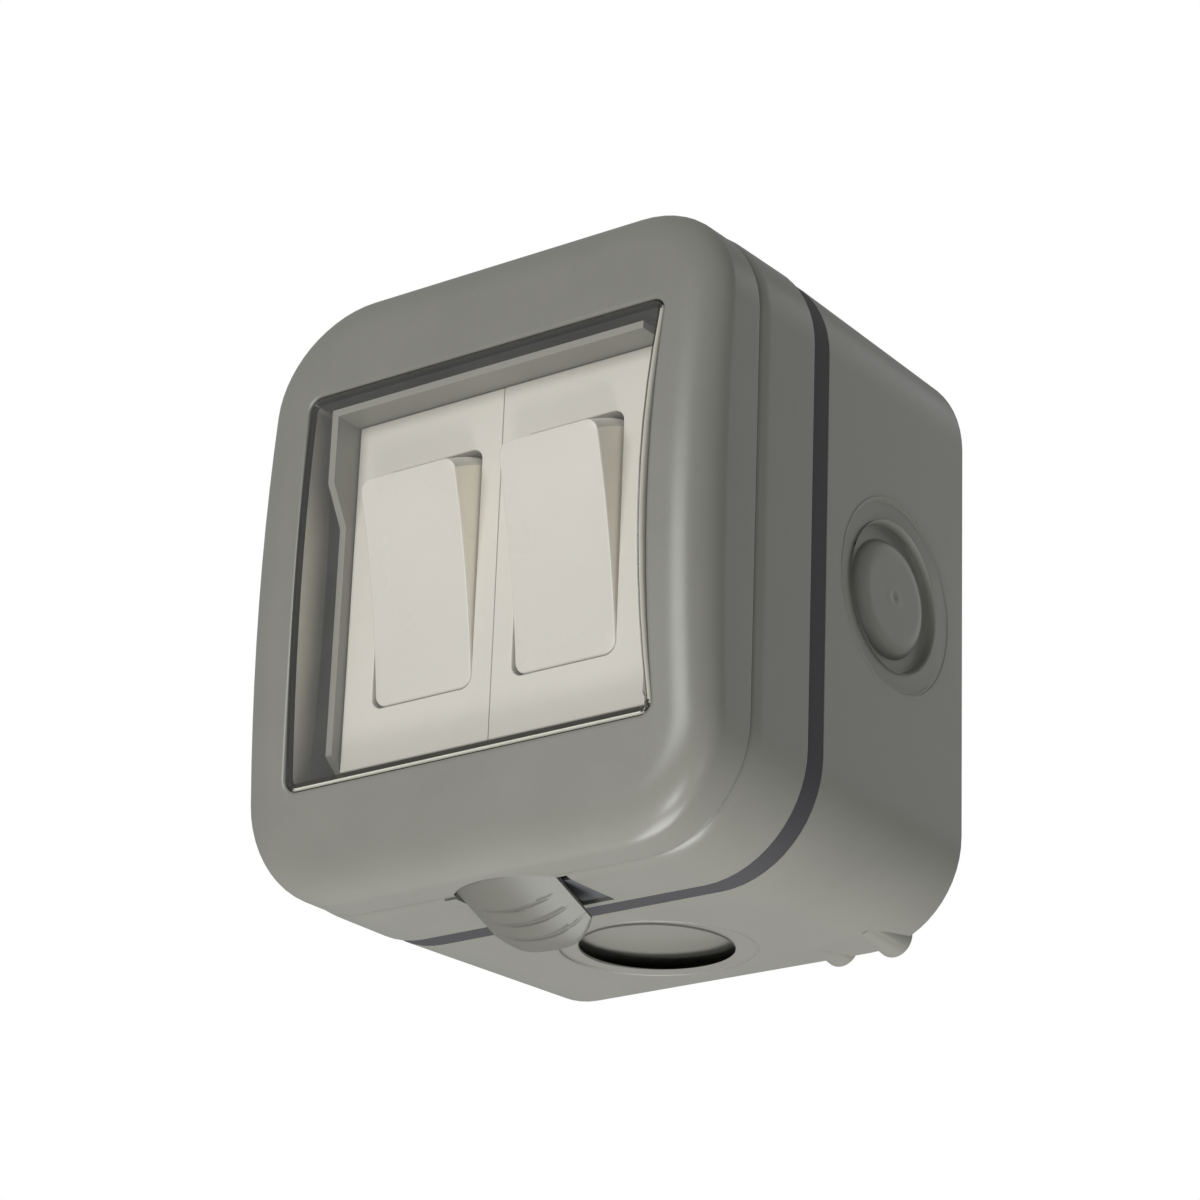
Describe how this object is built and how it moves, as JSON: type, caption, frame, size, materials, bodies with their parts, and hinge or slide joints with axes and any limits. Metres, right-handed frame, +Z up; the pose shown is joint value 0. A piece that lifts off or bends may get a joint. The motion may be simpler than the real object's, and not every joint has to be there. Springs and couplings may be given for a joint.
{
  "type": "outdoor weatherproof light switch",
  "caption": "Surface-mounted weatherproof wall switch with rockers under a clear membrane in a hinged, latched lid, on a gasketed box with knock-outs.",
  "frame": {"origin": "centre of the flat back face of the box, on the wall plane", "axes": "+Z up, +Y into the wall, +X to the right when the switch is seen from the front"},
  "size_m": [0.0866, 0.0715, 0.1107],
  "materials": {
    "box_grey": "fine satin mould texture",
    "lid_grey": "fine satin mould texture",
    "latch_grey": "smooth satin",
    "gasket_rubber": "matt black",
    "clear_membrane": "clear and glossy",
    "frame_grey": "satin",
    "carrier_grey": "satin",
    "steel": "zinc plated",
    "brass": "plain brass",
    "module_white": "smooth white",
    "rocker_white": "smooth white",
    "base_grey": "moulded",
    "plunger_nylon": "natural nylon",
    "spring_steel": "drawn wire",
    "contact_copper": "rolled copper strip with silver buttons"
  },
  "bodies": {
    "box": {"back_box": "box_grey", "box_gasket": "gasket_rubber", "hinge_pin": "steel", "carrier": "carrier_grey", "carrier_screws": "steel", "earth_terminal": "brass", "earth_screw": "steel", "module_front_left": "module_white", "module_base_left": "base_grey", "common_terminal_left": "brass", "way_terminals_left": "brass", "terminal_screws_left": "steel", "module_front_right": "module_white", "module_base_right": "base_grey", "common_terminal_right": "brass", "way_terminals_right": "brass", "terminal_screws_right": "steel"},
    "lid": {"lid": "lid_grey", "window_membrane": "clear_membrane", "membrane_frame": "frame_grey", "frame_screws": "steel", "latch_pin": "steel"},
    "latch": {"latch": "latch_grey"},
    "rocker_left": {"rocker_left": "rocker_white", "plunger_spring_left": "spring_steel"},
    "plunger_left": {"plunger_left": "plunger_nylon"},
    "contact_left": {"moving_contact_left": "contact_copper"},
    "rocker_right": {"rocker_right": "rocker_white", "plunger_spring_right": "spring_steel"},
    "plunger_right": {"plunger_right": "plunger_nylon"},
    "contact_right": {"moving_contact_right": "contact_copper"}
  },
  "joints": [
    {"name": "lid_hinge", "type": "hinge", "parent": "box", "child": "lid", "pos_m": [0, -0.042, 0.0524], "axis": [-1, 0, 0], "range_deg": [0, 105]},
    {"name": "latch_turn", "type": "hinge", "parent": "lid", "child": "latch", "pos_m": [0, -0.0578, -0.0459], "axis": [-1, 0, 0], "range_deg": [0, 25]},
    {"name": "rocker_left_turn", "type": "hinge", "parent": "box", "child": "rocker_left", "pos_m": [-0.0132, -0.05775, 0], "axis": [-1, 0, 0], "range_deg": [0, 22.6]},
    {"name": "plunger_left_slide", "type": "slide", "parent": "rocker_left", "child": "plunger_left", "axis": [0, -0.9806, -0.1959], "range_m": [0, 0.0006], "stiffness_N_per_m": 300, "springref_m": -0.002, "deforming": ["plunger_spring_left"]},
    {"name": "contact_left_rock", "type": "hinge", "parent": "box", "child": "contact_left", "pos_m": [-0.0132, -0.04455, 0], "axis": [1, 0, 0], "range_deg": [0, 12]},
    {"name": "rocker_right_turn", "type": "hinge", "parent": "box", "child": "rocker_right", "pos_m": [0.0132, -0.05775, 0], "axis": [-1, 0, 0], "range_deg": [0, 22.6]},
    {"name": "plunger_right_slide", "type": "slide", "parent": "rocker_right", "child": "plunger_right", "axis": [0, -0.9806, -0.1959], "range_m": [0, 0.0006], "stiffness_N_per_m": 300, "springref_m": -0.002, "deforming": ["plunger_spring_right"]},
    {"name": "contact_right_rock", "type": "hinge", "parent": "box", "child": "contact_right", "pos_m": [0.0132, -0.04455, 0], "axis": [1, 0, 0], "range_deg": [0, 12]}
  ],
  "couplings": [
    {"joint": "contact_left_rock", "follows": "rocker_left_turn", "ratio": 0.5309},
    {"joint": "contact_right_rock", "follows": "rocker_right_turn", "ratio": 0.5309}
  ]
}
